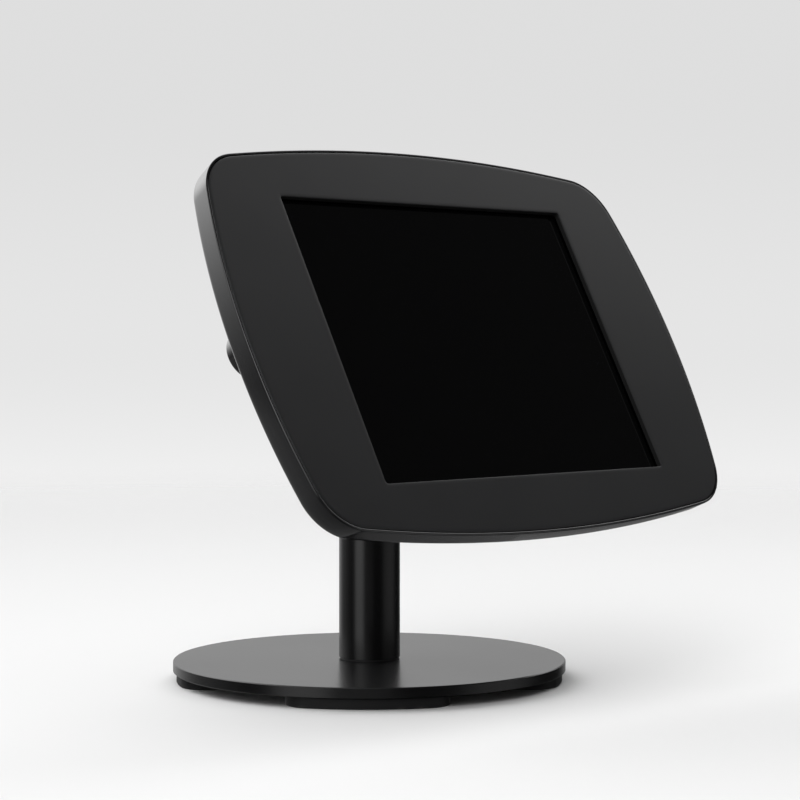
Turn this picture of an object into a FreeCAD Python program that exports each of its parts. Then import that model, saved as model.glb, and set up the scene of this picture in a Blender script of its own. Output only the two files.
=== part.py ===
import FreeCAD, Part
import math
import os
import re

import Sketcher
from FreeCAD import Placement, Rotation, Vector

# A countertop tablet stand for a shop till: a round steel foot, a column that swivels on it and
# a slim leaning enclosure that locks a tablet behind a lift-off faceplate.
# +X is the enclosure's width, its screen faces -Y, and +Z is up. The origin is where the
# column's axis meets the counter. Millimetres and degrees.

SIZES = [
    # Foot
    ("base_diameter", 220.0),
    ("base_thickness", 6.0),
    ("base_edge", 0.5),
    ("pad_height", 5.7),
    ("pad_reach", 108.1),
    ("pad_half_width", 43.0),
    ("pad_corner", 14.4),
    ("pad_inner_edge", 62.0),
    ("pad_inner_corner", 6.0),
    ("pad_screw_reach", 84.0),
    ("pad_screw_side", 26.0),
    ("pad_screw_recess", 1.0),
    ("fixing_circle_radius", 85.0),
    ("fixing_hole_radius", 3.0),
    ("fixing_hole_depth", 5.0),
    # Swivel
    ("seam_height", 1.0),
    ("spigot_clearance", 1.15),
    ("spigot_bore_radius", 8.0),
    ("spigot_height", 39.0),
    ("spigot_flange_width", 12.5),
    ("spigot_flange_thickness", 3.0),
    ("spigot_screw_offset", 6.3),
    ("bush_wall", 2.6),
    ("bush_height", 8.0),
    ("lower_bush_start", 1.4),
    ("upper_bush_start", 29.0),
    ("stop_groove_start", 15.0),
    ("stop_groove_height", 5.0),
    ("stop_groove_depth", 3.0),
    ("stop_tip_radius", 2.0),
    ("stop_screw_radius", 2.5),
    ("swivel_travel", 180.0),
    ("friction_ring_start", 23.5),
    # Column
    ("column_diameter", 34.3),
    ("column_wall", 2.5),
    ("bend_radius", 60.0),
    # Enclosure
    ("head_lean", 61.83),
    ("head_reach", 84.0),
    ("head_height", 192.0),
    ("head_half_width", 166.0),
    ("head_half_height", 114.4),
    ("side_arc_radius", 373.7),
    ("top_arc_radius", 991.9),
    ("head_corner_radius", 29.2),
    ("back_gap", 1.8),
    ("head_draft", 1.4),
    ("rear_edge_radius", 3.0),
    ("rim_edge_radius", 0.7),
    ("rim_width", 1.35),
    ("rim_gap", 0.45),
    ("wall_thickness", 3.6),
    ("floor_thickness", 3.0),
    ("face_thickness", 3.2),
    ("seat_gap", 0.2),
    ("face_edge", 0.3),
    ("window_width", 216.5),
    ("window_height", 163.3),
    ("window_corner", 1.8),
    ("window_edge", 0.4),
    ("gasket_thickness", 0.5),
    ("gasket_width", 8.0),
    # Faceplate posts and their sockets
    ("post_reach", 148.0),
    ("post_spacing", 72.0),
    ("post_radius", 1.9),
    ("post_neck_radius", 1.4),
    ("post_shank", 5.0),
    ("post_neck", 1.0),
    ("post_nose", 1.2),
    ("post_root_radius", 4.0),
    ("post_root_height", 0.9),
    ("post_stub", 2.0),
    ("socket_radius", 4.2),
    ("socket_headroom", 0.5),
    ("socket_slit", 1.0),
    ("socket_foot_length", 22.0),
    ("socket_foot_width", 9.0),
    ("socket_foot_height", 1.2),
    ("socket_screw_offset", 8.0),
    ("tiny_screw_radius", 1.15),
    ("tiny_head_radius", 2.0),
    ("tiny_head_height", 0.8),
    # Lock
    ("lock_reach", 147.0),
    ("boss_radius", 13.8),
    ("boss_height", 7.2),
    ("boss_edge_radius", 1.2),
    ("barrel_radius", 8.0),
    ("barrel_lip", 2.0),
    ("barrel_lip_height", 0.9),
    ("barrel_inside", 2.8),
    ("lock_nut_height", 2.2),
    ("plug_radius", 5.5),
    ("plug_proud", 0.3),
    ("keyway_width", 1.4),
    ("keyway_length", 6.4),
    ("keyway_depth", 6.0),
    ("spindle_radius", 2.2),
    ("spindle_end", 1.7),
    ("cam_height", 4.9),
    ("cam_nut_height", 1.5),
    ("cam_length", 10.5),
    ("cam_width", 8.0),
    ("cam_thickness", 1.5),
    ("catch_length", 12.0),
    ("catch_sheet", 1.2),
    ("catch_drop", 5.4),
    # Neck flange
    ("flange_side", 95.0),
    ("flange_corner", 12.0),
    ("flange_thickness", 4.0),
    ("flange_screw_spacing", 75.0),
    ("cable_hole_radius", 11.0),
    ("mounting_width", 150.0),
    ("mounting_height", 100.0),
    ("mounting_sheet", 1.6),
    ("channel_width", 8.0),
    ("channel_depth", 1.8),
    # Tablet
    ("tablet_width", 250.6),
    ("tablet_height", 174.1),
    ("tablet_depth", 6.1),
    ("tablet_corner", 9.0),
    ("tablet_wall", 1.4),
    ("glass_gap", 0.2),
    ("glass_thickness", 0.7),
    ("button_width", 2.6),
    ("button_length", 10.0),
    ("button_travel", 0.4),
    ("button_proud", 0.5),
    ("corner_pad_side", 18.0),
    # Clearances and small fasteners
    ("running_gap", 0.05),
    ("seat_clearance", 0.1),
    ("small_screw_radius", 1.95),
    ("small_head_radius", 3.8),
    ("small_head_height", 1.6),
]

doc = FreeCAD.newDocument("TabletStand")
sheet = doc.addObject("Spreadsheet::Sheet", "Sizes")
for row, (alias, amount) in enumerate(SIZES, start=1):
    sheet.set(f"A{row}", alias)
    sheet.set(f"B{row}", str(amount))
    sheet.setAlias(f"B{row}", alias)
doc.recompute()

# Heights and depths that several pieces share. Depths are measured in the enclosure's own frame,
# whose z is 0 on the faceplate's front and grows towards the person who reads the screen.
PLATE_UNDERSIDE = "pad_height"
PLATE_TOP = "(pad_height + base_thickness)"
COLUMN_FOOT = "(pad_height + base_thickness + seam_height + running_gap)"
COLUMN_BORE = "(column_diameter / 2 - column_wall)"
FLOOR = "(floor_thickness - head_depth)"
GLASS_FRONT = "(0 - face_thickness - gasket_thickness - glass_gap)"
TABLET_BACK = "(0 - face_thickness - gasket_thickness - glass_gap - tablet_depth)"
GLASS_BACK = "(0 - face_thickness - gasket_thickness - glass_gap - glass_thickness)"
FACE_BACK = "(0 - face_thickness)"
BUTTON_Z = "(0 - face_thickness - gasket_thickness - glass_gap - tablet_depth / 2 - 0.4)"

# Sizes that follow others, so that what fits together keeps fitting: the swivel is turned to the
# column's bore, and the enclosure is as deep as what it holds.
FOLLOWING = {
    "spigot_radius": f"({COLUMN_BORE} - spigot_clearance)",
    "bush_seat_radius": f"({COLUMN_BORE} - running_gap - bush_wall)",
    "friction_ring_section": "bush_wall",
    "stop_groove_radius": "(spigot_radius - stop_groove_depth)",
    "spigot_flange_radius": "(spigot_radius + spigot_flange_width)",
    "spigot_screw_circle": "(spigot_radius + spigot_screw_offset)",
    "head_depth": (
        "(floor_thickness + back_gap + tablet_depth"
        " + glass_gap + gasket_thickness + face_thickness)"
    ),
}

pieces = []


def cells(expression):
    """Spell out the sizes that follow others. Every alias has an underscore, so each word with
    one is then a cell of the sheet."""
    text = str(expression)
    while any(name in text for name in FOLLOWING):
        for name, meaning in FOLLOWING.items():
            text = re.sub(rf"\b{name}\b", meaning, text)
    return re.sub(r"\b[a-z]+(?:_[a-z]+)+\b", lambda word: "Sizes." + word.group(), text)


def number(expression):
    """The value that an expression has now, for geometry that its constraints then hold."""
    return float(sheet.evalExpression(cells(expression)))


def bind(thing, name, expression):
    """Set a property from an expression and keep it tied to the sheet."""
    thing.setExpression(name, cells(expression))


def keep(thing, label):
    """Count a finished object as one of the stand's pieces."""
    thing.Label = label
    pieces.append(thing)
    return thing


def stand_in_head(thing, x="0"):
    """Turn and lift a piece from the enclosure's own frame to its leaning place, moved along X."""
    thing.Placement = Placement(Vector(), Rotation(Vector(1, 0, 0), number("head_lean")))
    bind(thing, "Placement.Rotation.Angle", "head_lean")
    bind(thing, "Placement.Base.x", x)
    bind(thing, "Placement.Base.y", "0 - head_reach")
    bind(thing, "Placement.Base.z", "head_height")
    return thing


# Sketches


def new_body(label):
    return keep(doc.addObject("PartDesign::Body", label), label)


def sketch_on(body, role="XY_Plane", height="0"):
    """A sketch on one of the body's origin planes, moved along the plane's normal."""
    sketch = body.newObject("Sketcher::SketchObject", body.Name + "_sketch")
    plane = [feature for feature in body.Origin.OriginFeatures if feature.Role == role][0]
    sketch.AttachmentSupport = (plane, "")
    sketch.MapMode = "FlatFace"
    bind(sketch, "AttachmentOffset.Base.z", height)
    return sketch


def constrain(sketch, kind, *where, size=None):
    """Add a constraint, tied to its expression where it has a size."""
    if size is None:
        sketch.addConstraint(Sketcher.Constraint(kind, *where))
        return
    index = sketch.addConstraint(Sketcher.Constraint(kind, *where, number(size)))
    sketch.setExpression(f"Constraints[{index}]", cells(size))


def hold_point(sketch, geometry, end, x, y):
    """Hold a point at (x, y) from the sketch's origin; a zero puts it on the axis."""
    for kind, axis, size in (("DistanceX", -2, x), ("DistanceY", -1, y)):
        if str(size) == "0":
            constrain(sketch, "PointOnObject", geometry, end, axis)
        else:
            constrain(sketch, kind, -1, 1, geometry, end, size=size)


def draw_circle(sketch, radius, x="0", y="0"):
    circle = Part.Circle(Vector(number(x), number(y), 0), Vector(0, 0, 1), number(radius))
    index = sketch.addGeometry(circle)
    constrain(sketch, "Radius", index, size=radius)
    hold_point(sketch, index, 3, x, y)


def draw_polygon(sketch, corners):
    """A closed outline of straight lines through corners given as pairs of expressions."""
    points = [Vector(number(x), number(y), 0) for x, y in corners]
    lines = [
        sketch.addGeometry(Part.LineSegment(start, end))
        for start, end in zip(points, points[1:] + points[:1])
    ]
    for line, following in zip(lines, lines[1:] + lines[:1]):
        constrain(sketch, "Coincident", line, 2, following, 1)
    for line, (x, y) in zip(lines, corners):
        hold_point(sketch, line, 1, x, y)


def draw_rectangle(sketch, x_low, x_high, y_low, y_high):
    draw_polygon(sketch, [(x_low, y_low), (x_high, y_low), (x_high, y_high), (x_low, y_high)])


def draw_hexagon(sketch, radius):
    """A hexagon about the origin, with two of its corners on the X axis."""
    corners = []
    for side in range(6):
        x = f"({radius}) * cos({60 * side} deg)"
        y = "0" if side in (0, 3) else f"({radius}) * sin({60 * side} deg)"
        corners.append((x, y))
    draw_polygon(sketch, corners)


def draw_rounded(sketch, half_width, half_height, corner):
    """A rectangle about the origin with its corners rounded by tangent arcs."""
    width, height, radius = number(half_width), number(half_height), number(corner)
    arcs = []
    signs = ((1, 1), (-1, 1), (-1, -1), (1, -1))
    for turn, (side, up) in enumerate(signs):
        centre = Vector(side * (width - radius), up * (height - radius), 0)
        circle = Part.Circle(centre, Vector(0, 0, 1), radius)
        start = turn * math.pi / 2
        arcs.append(sketch.addGeometry(Part.ArcOfCircle(circle, start, start + math.pi / 2)))
    for turn in range(4):
        first, second = arcs[turn], arcs[(turn + 1) % 4]
        start = sketch.getPoint(first, 2)
        end = sketch.getPoint(second, 1)
        line = sketch.addGeometry(Part.LineSegment(start, end))
        constrain(sketch, "Tangent", first, 2, line, 1)
        constrain(sketch, "Tangent", line, 2, second, 1)
    for arc, (side, up) in zip(arcs, signs):
        constrain(sketch, "Radius", arc, size=corner)
        x = f"{side} * ({half_width} - ({corner}))"
        y = f"{up} * ({half_height} - ({corner}))"
        hold_point(sketch, arc, 3, x, y)


def draw_head_outline(sketch, inset="0"):
    """The enclosure's outline: long shallow arcs on all four sides and tight arcs at the corners,
    all tangent. An inset outline keeps the same centres."""
    inset_now = number(inset)
    side_radius = number("side_arc_radius")
    top_radius = number("top_arc_radius")
    corner_radius = number("head_corner_radius")
    side_centre = Vector(number("head_half_width - side_arc_radius"), 0, 0)
    top_centre = Vector(0, number("head_half_height - top_arc_radius"), 0)
    corner_centre = meeting_point(
        side_centre, side_radius - corner_radius, top_centre, top_radius - corner_radius
    )
    side_end = math.atan2(corner_centre.y - side_centre.y, corner_centre.x - side_centre.x)
    top_start = math.atan2(corner_centre.y - top_centre.y, corner_centre.x - top_centre.x)
    quarter = []
    quarter.append((side_centre, side_radius, -side_end, side_end, "side_arc_radius"))
    quarter.append((corner_centre, corner_radius, side_end, top_start, "head_corner_radius"))
    quarter.append((top_centre, top_radius, top_start, math.pi - top_start, "top_arc_radius"))
    mirrored = Vector(-corner_centre.x, corner_centre.y, 0)
    second_corner = (mirrored, corner_radius, math.pi - top_start, math.pi - side_end)
    quarter.append(second_corner + ("head_corner_radius",))
    arcs = []
    for half in (0, 1):
        for centre, radius, start, end, alias in quarter:
            turned = centre if half == 0 else Vector(-centre.x, -centre.y, 0)
            circle = Part.Circle(turned, Vector(0, 0, 1), radius - inset_now)
            begin = start + half * math.pi
            finish = end + half * math.pi
            arc = sketch.addGeometry(Part.ArcOfCircle(circle, begin, finish))
            constrain(sketch, "Radius", arc, size=f"{alias} - ({inset})")
            sign = 1 - 2 * half
            if alias == "side_arc_radius":
                hold_point(sketch, arc, 3, f"{sign} * (head_half_width - side_arc_radius)", "0")
            if alias == "top_arc_radius":
                hold_point(sketch, arc, 3, "0", f"{sign} * (head_half_height - top_arc_radius)")
            arcs.append(arc)
    for arc, following in zip(arcs, arcs[1:] + arcs[:1]):
        constrain(sketch, "Tangent", arc, 2, following, 1)


def meeting_point(first_centre, first_radius, second_centre, second_radius):
    """Where two circles cross, on the upper right."""
    between = second_centre - first_centre
    gap = between.Length
    along = (first_radius**2 - second_radius**2 + gap**2) / (2 * gap)
    across = math.sqrt(first_radius**2 - along**2)
    unit = between.normalize()
    crossings = [
        first_centre + unit * along + Vector(-unit.y, unit.x, 0) * (side * across)
        for side in (1, -1)
    ]
    return max(crossings, key=lambda point: point.x + point.y)


# Features


def pad(body, sketch, length, reverse=False):
    feature = body.newObject("PartDesign::Pad", body.Name + "_pad")
    feature.Profile = sketch
    bind(feature, "Length", length)
    feature.Reversed = reverse
    doc.recompute()
    return feature


def pocket(body, sketch, length, upward=False):
    """Cut a sketch downwards, or upwards, and make sure that it took material away."""
    before = body.Shape.Volume
    feature = body.newObject("PartDesign::Pocket", body.Name + "_pocket")
    feature.Profile = sketch
    bind(feature, "Length", length)
    feature.Reversed = upward
    doc.recompute()
    if body.Shape.Volume > before - 1e-6:
        raise RuntimeError(feature.Label + " cuts nothing")
    return feature


def repeat(body, feature, count):
    """Repeat a feature round the body's Z axis."""
    pattern = body.newObject("PartDesign::PolarPattern", body.Name + "_pattern")
    pattern.Originals = [feature]
    axis = [item for item in body.Origin.OriginFeatures if item.Role == "Z_Axis"][0]
    pattern.Axis = (axis, [""])
    pattern.Angle = 360
    pattern.Occurrences = count
    body.Tip = pattern
    doc.recompute()
    return pattern


def turned(label, profile):
    """A turned piece: a half profile of (radius, height) corners carried round the Z axis."""
    body = new_body(label)
    sketch = sketch_on(body, "XZ_Plane")
    draw_polygon(sketch, profile)
    feature = body.newObject("PartDesign::Revolution", label + "_turn")
    feature.Profile = sketch
    feature.ReferenceAxis = (sketch, ["V_Axis"])
    feature.Angle = 360
    doc.recompute()
    return body


def edges_where(shape, test):
    return [f"Edge{index + 1}" for index, edge in enumerate(shape.Edges) if test(edge)]


def at_height(expression):
    """A test for edges that lie wholly at one height of the body's own frame."""
    height = number(expression)

    def test(edge):
        box = edge.BoundBox
        return abs(box.ZMin - height) < 1e-4 and abs(box.ZMax - height) < 1e-4

    return test


def round_edges(body, test, radius, kind="PartDesign::Fillet"):
    """Round, or chamfer, the edges of the body's last feature that pass a test."""
    last = body.Tip
    feature = body.newObject(kind, body.Name + "_edge")
    feature.Base = (last, edges_where(last.Shape, test))
    bind(feature, "Radius" if kind == "PartDesign::Fillet" else "Size", radius)
    doc.recompute()
    return feature


def bevel_edges(body, test, size):
    return round_edges(body, test, size, "PartDesign::Chamfer")


# Plain solids for small parts


def cylinder(radius, length, x="0", y="0", z="0"):
    solid = doc.addObject("Part::Cylinder", "rod")
    bind(solid, "Radius", radius)
    bind(solid, "Height", length)
    for axis, place in zip("xyz", (x, y, z)):
        bind(solid, "Placement.Base." + axis, place)
    return solid


def block(x_low, x_high, y_low, y_high, z_low, z_high):
    solid = doc.addObject("Part::Box", "block")
    sides = (
        ("Length", "x", x_low, x_high),
        ("Width", "y", y_low, y_high),
        ("Height", "z", z_low, z_high),
    )
    for side, axis, low, high in sides:
        bind(solid, side, f"({high}) - ({low})")
        bind(solid, "Placement.Base." + axis, low)
    return solid


def cut(base, tool):
    solid = doc.addObject("Part::Cut", "cut")
    solid.Base = base
    solid.Tool = tool
    return solid


def fuse(*solids):
    joined = doc.addObject("Part::MultiFuse", "fuse")
    joined.Shapes = list(solids)
    return joined


def group(label, solids):
    """Like pieces that share one node, as separate solids."""
    together = doc.addObject("Part::Compound", label)
    together.Links = solids
    return keep(together, label)


def flat_screw(length, x, y, z, head_down=False):
    """A countersunk screw with a hexagon socket, its head's top face at (x, y, z)."""
    shank = cylinder("small_screw_radius", length, z=f"0 - ({length})")
    head = doc.addObject("Part::Cone", "head")
    bind(head, "Radius1", "small_screw_radius")
    bind(head, "Radius2", "small_head_radius - seat_clearance")
    bind(head, "Height", "small_head_height")
    bind(head, "Placement.Base.z", "0 - small_head_height")
    socket = doc.addObject("Part::Prism", "socket")
    socket.Polygon = 6
    bind(socket, "Circumradius", "small_screw_radius * 0.75")
    bind(socket, "Height", "small_head_height")
    bind(socket, "Placement.Base.z", "0 - small_head_height * 0.8")
    screw = cut(fuse(shank, head), socket)
    flip = 180 if head_down else 0
    screw.Placement = Placement(Vector(), Rotation(Vector(1, 0, 0), flip))
    for axis, place in zip("xyz", (x, y, z)):
        bind(screw, "Placement.Base." + axis, place)
    return screw


def ring_of(count, radius, start=0):
    """Places on a circle as pairs of expressions."""
    places = []
    for index in range(count):
        angle = start + index * 360 / count
        places.append((f"({radius}) * cos({angle} deg)", f"({radius}) * sin({angle} deg)"))
    return places


# Foot


def pad_screw_places(angle):
    """The two screws of the pad that points along an angle."""
    places = []
    for side in (1, -1):
        x = f"pad_screw_reach * cos({angle} deg) - {side} * pad_screw_side * sin({angle} deg)"
        y = f"pad_screw_reach * sin({angle} deg) + {side} * pad_screw_side * cos({angle} deg)"
        places.append((x, y))
    return places


def base_plate():
    """A steel disc, bored for the swivel and tapped from below for everything it carries."""
    body = new_body("base_plate")
    sketch = sketch_on(body, height=PLATE_UNDERSIDE)
    draw_circle(sketch, "base_diameter / 2")
    pad(body, sketch, "base_thickness")
    bevel_edges(body, lambda edge: True, "base_edge")
    recess = sketch_on(body, height=PLATE_UNDERSIDE)
    draw_circle(recess, "spigot_flange_radius + seat_clearance")
    pocket(body, recess, "spigot_flange_thickness", upward=True)
    bore = sketch_on(body, height=PLATE_TOP)
    draw_circle(bore, "spigot_radius + seat_clearance")
    pocket(body, bore, "base_thickness")
    flange_threads = sketch_on(body, height="pad_height + spigot_flange_thickness")
    draw_circle(flange_threads, "small_screw_radius + running_gap", x="spigot_screw_circle")
    thread_depth = "base_thickness - spigot_flange_thickness - 0.6"
    repeat(body, pocket(body, flange_threads, thread_depth, upward=True), 4)
    pad_threads = sketch_on(body, height=PLATE_UNDERSIDE)
    for x, y in pad_screw_places(45):
        draw_circle(pad_threads, "small_screw_radius + running_gap", x, y)
    repeat(body, pocket(body, pad_threads, "base_thickness - 1", upward=True), 4)
    fixings = sketch_on(body, height=PLATE_UNDERSIDE)
    draw_circle(fixings, "fixing_hole_radius", x="fixing_circle_radius")
    repeat(body, pocket(body, fixings, "fixing_hole_depth", upward=True), 4)


def foot_pad(label, angle):
    """A moulded rubber foot: its outer edge follows the plate, its two sides are parallel."""
    body = new_body(label)
    sketch = sketch_on(body)
    reach, half = number("pad_reach"), number("pad_half_width")
    corner, inner = number("pad_corner"), number("pad_inner_corner")
    up = Vector(0, 0, 1)
    corner_y = half - corner
    corner_x = math.sqrt((reach - corner) ** 2 - corner_y**2)
    swing = math.atan2(corner_y, corner_x)
    inner_x = number("pad_inner_edge") + inner
    inner_y = half - inner

    def arc(x, y, radius, start, end):
        circle = Part.Circle(Vector(x, y, 0), up, radius)
        return sketch.addGeometry(Part.ArcOfCircle(circle, start, end))

    def line(x_start, y_start, x_end, y_end):
        segment = Part.LineSegment(Vector(x_start, y_start, 0), Vector(x_end, y_end, 0))
        return sketch.addGeometry(segment)

    quarter = math.pi / 2
    outline = [
        arc(0, 0, reach, -swing, swing),
        arc(corner_x, corner_y, corner, swing, quarter),
        line(corner_x, half, inner_x, half),
        arc(inner_x, inner_y, inner, quarter, 2 * quarter),
        line(inner_x - inner, inner_y, inner_x - inner, -inner_y),
        arc(inner_x, -inner_y, inner, 2 * quarter, 3 * quarter),
        line(inner_x, -half, corner_x, -half),
        arc(corner_x, -corner_y, corner, -quarter, -swing),
    ]
    for edge, following in zip(outline, outline[1:] + outline[:1]):
        constrain(sketch, "Tangent", edge, 2, following, 1)
    constrain(sketch, "Coincident", outline[0], 3, -1, 1)
    constrain(sketch, "Radius", outline[0], size="pad_reach")
    for index in (1, 7):
        constrain(sketch, "Radius", outline[index], size="pad_corner")
    for index in (3, 5):
        constrain(sketch, "Radius", outline[index], size="pad_inner_corner")
    constrain(sketch, "Horizontal", outline[2])
    constrain(sketch, "Horizontal", outline[6])
    constrain(sketch, "Vertical", outline[4])
    constrain(sketch, "DistanceY", -1, 1, outline[2], 1, size="pad_half_width")
    constrain(sketch, "DistanceY", -1, 1, outline[6], 1, size="0 - pad_half_width")
    constrain(sketch, "DistanceX", -1, 1, outline[4], 1, size="pad_inner_edge")
    pad(body, sketch, "pad_height")
    round_edges(body, at_height("0"), "0.6")
    hole_steps = (
        ("small_screw_radius + 2 * seat_clearance", "pad_height"),
        ("small_head_radius + 4 * seat_clearance", "pad_screw_recess + small_head_height"),
    )
    for radius, depth in hole_steps:
        holes = sketch_on(body)
        for side in ("pad_screw_side", "0 - pad_screw_side"):
            draw_circle(holes, radius, "pad_screw_reach", side)
        pocket(body, holes, depth, upward=True)
    body.Placement = Placement(Vector(), Rotation(Vector(0, 0, 1), angle))


def foot():
    base_plate()
    corners = ("back_right", "back_left", "front_left", "front_right")
    screws = []
    for index, corner in enumerate(corners):
        angle = 45 + 90 * index
        foot_pad("foot_pad_" + corner, angle)
        for x, y in pad_screw_places(angle):
            length = "pad_height + base_thickness - 1.2 - pad_screw_recess"
            screws.append(flat_screw(length, x, y, "pad_screw_recess", True))
    group("foot_pad_screws", screws)


# Swivel


def swivel_spigot():
    """A hollow turned post with seats for two bushes and a friction ring, and a part groove that
    stops the column's swing."""
    grooves = (
        ("lower_bush_start", "bush_height", "bush_seat_radius"),
        ("friction_ring_start", "friction_ring_section + 0.1", "bush_seat_radius"),
        ("upper_bush_start", "bush_height", "bush_seat_radius"),
    )
    flange_top = "pad_height + spigot_flange_thickness"
    profile = [
        ("spigot_bore_radius", PLATE_UNDERSIDE),
        ("spigot_flange_radius", PLATE_UNDERSIDE),
        ("spigot_flange_radius", flange_top),
        ("spigot_radius", flange_top),
    ]
    for start, height, radius in grooves:
        low = f"{PLATE_TOP} + {start}"
        high = f"{low} + {height}"
        profile += [("spigot_radius", low), (radius, low), (radius, high), ("spigot_radius", high)]
    top = f"{PLATE_TOP} + spigot_height"
    profile += [("spigot_radius", f"{top} - 1"), ("spigot_radius - 1", top), ("spigot_bore_radius", top)]
    body = turned("swivel_spigot", profile)
    stop = sketch_on(body, "YZ_Plane")
    low = f"{PLATE_TOP} + stop_groove_start"
    high = f"{low} + stop_groove_height"
    draw_rectangle(stop, "stop_groove_radius", "spigot_radius + 1", low, high)
    groove = body.newObject("PartDesign::Groove", "stop_groove")
    groove.Profile = stop
    groove.ReferenceAxis = (stop, ["V_Axis"])
    groove.Midplane = True
    end_angle = "asin((stop_tip_radius + seat_clearance) / stop_groove_radius)"
    bind(groove, "Angle", f"swivel_travel * 1 deg + 2 * {end_angle}")
    doc.recompute()
    heads = sketch_on(body, height=PLATE_UNDERSIDE)
    draw_circle(heads, "small_head_radius", x="spigot_screw_circle")
    countersink = pocket(body, heads, "small_head_height", upward=True)
    countersink.TaperAngle = sink_angle()
    repeat(body, countersink, 4)
    holes = sketch_on(body, height=PLATE_UNDERSIDE)
    draw_circle(holes, "small_screw_radius + seat_clearance", x="spigot_screw_circle")
    repeat(body, pocket(body, holes, "spigot_flange_thickness", upward=True), 4)


def sink_angle():
    """The taper of a countersink that fits the small screws' heads."""
    slope = number("(small_head_radius - small_screw_radius - seat_clearance) / small_head_height")
    return 0 - math.degrees(math.atan(slope))


def split_bush(label, start):
    """An acetal ring, split so that it snaps into its seat."""
    body = new_body(label)
    sketch = sketch_on(body, height=f"{PLATE_TOP} + {start} + running_gap")
    draw_circle(sketch, f"{COLUMN_BORE} - running_gap")
    draw_circle(sketch, "bush_seat_radius")
    pad(body, sketch, "bush_height - 2 * running_gap")
    split = sketch_on(body, height=f"{PLATE_TOP} + {start} + bush_height")
    draw_rectangle(split, "0 - 0.8", "0.8", "0", COLUMN_BORE)
    pocket(body, split, "bush_height")


def swivel():
    swivel_spigot()
    split_bush("lower_bush", "lower_bush_start")
    split_bush("upper_bush", "upper_bush_start")
    washer = new_body("thrust_washer")
    sketch = sketch_on(washer, height=PLATE_TOP)
    draw_circle(sketch, "column_diameter / 2 - 0.6")
    draw_circle(sketch, "spigot_radius + 3 * seat_clearance")
    pad(washer, sketch, "seam_height")
    ring = doc.addObject("Part::Torus", "friction_ring")
    bind(ring, "Radius1", "bush_seat_radius + friction_ring_section / 2")
    bind(ring, "Radius2", "friction_ring_section / 2")
    middle = f"{PLATE_TOP} + friction_ring_start + friction_ring_section / 2 + running_gap"
    bind(ring, "Placement.Base.z", middle)
    keep(ring, "friction_ring")
    screws = [
        flat_screw("base_thickness - 0.8", x, y, PLATE_UNDERSIDE, True)
        for x, y in ring_of(4, "spigot_screw_circle")
    ]
    group("spigot_screws", screws)
    lip = "pad_height - 1.2"
    turned("base_grommet", [
        ("spigot_bore_radius - 2", lip),
        ("spigot_bore_radius + 2", lip),
        ("spigot_bore_radius + 2", PLATE_UNDERSIDE),
        ("spigot_bore_radius", PLATE_UNDERSIDE),
        ("spigot_bore_radius", "pad_height + 6"),
        ("spigot_bore_radius - 2", "pad_height + 6"),
    ])


# Column


def column_tube():
    """One steel tube: upright, bent forward square to the enclosure, and welded to its flange."""
    body = new_body("column_tube")
    rear = "(head_depth + flange_thickness)"
    end_y = f"{rear} * sin(head_lean * 1 deg) - head_reach"
    end_z = f"head_height - {rear} * cos(head_lean * 1 deg)"
    corner_z = "head_height - head_reach / tan(head_lean * 1 deg)"
    tangent = number("bend_radius * tan(head_lean * 0.5 deg)")
    lean = math.radians(number("head_lean"))
    radius = number("bend_radius")
    corner = Vector(0, number(corner_z), 0)
    forward = Vector(-math.sin(lean), math.cos(lean), 0)
    foot_point = Vector(0, number(COLUMN_FOOT), 0)
    end_point = Vector(number(end_y), number(end_z), 0)
    bend_start = corner - Vector(0, tangent, 0)
    path = sketch_on(body, "YZ_Plane")
    upright = path.addGeometry(Part.LineSegment(foot_point, bend_start))
    circle = Part.Circle(bend_start - Vector(radius, 0, 0), Vector(0, 0, 1), radius)
    bend = path.addGeometry(Part.ArcOfCircle(circle, 0, lean))
    arm = path.addGeometry(Part.LineSegment(corner + forward * tangent, end_point))
    constrain(path, "Tangent", upright, 2, bend, 1)
    constrain(path, "Tangent", bend, 2, arm, 1)
    constrain(path, "Vertical", upright)
    constrain(path, "Radius", bend, size="bend_radius")
    hold_point(path, upright, 1, "0", COLUMN_FOOT)
    hold_point(path, arm, 2, end_y, end_z)
    section = sketch_on(body, height=COLUMN_FOOT)
    draw_circle(section, "column_diameter / 2")
    draw_circle(section, COLUMN_BORE)
    pipe = body.newObject("PartDesign::AdditivePipe", "column_sweep")
    pipe.Profile = section
    pipe.Spine = (path, ["Edge1", "Edge2", "Edge3"])
    doc.recompute()
    hole = sketch_on(body, "XZ_Plane")
    stop_z = f"{PLATE_TOP} + stop_groove_start + stop_groove_height / 2"
    draw_circle(hole, "stop_screw_radius + running_gap", y=stop_z)
    pocket(body, hole, "column_diameter")


def stop_screw():
    """A dog-point grub screw through the column's back, whose tip runs in the spigot's groove."""
    inside = f"{COLUMN_BORE} - 0.4"
    tip = "stop_groove_radius + 0.4"
    body = turned("stop_screw", [
        ("0", tip),
        ("stop_tip_radius", tip),
        ("stop_tip_radius", inside),
        ("stop_screw_radius", inside),
        ("stop_screw_radius", "column_diameter / 2 - 0.2"),
        ("0", "column_diameter / 2 - 0.2"),
    ])
    socket = sketch_on(body, height="column_diameter / 2 - 0.2")
    draw_hexagon(socket, "stop_screw_radius - 1.1")
    pocket(body, socket, "2")
    body.Placement = Placement(Vector(), Rotation(Vector(1, 0, 0), -90))
    bind(body, "Placement.Base.z", f"{PLATE_TOP} + stop_groove_start + stop_groove_height / 2")


def flange_places():
    half = "flange_screw_spacing / 2"
    return [(half, half), (f"0 - {half}", half), (f"0 - {half}", f"0 - {half}"), (half, f"0 - {half}")]


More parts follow.
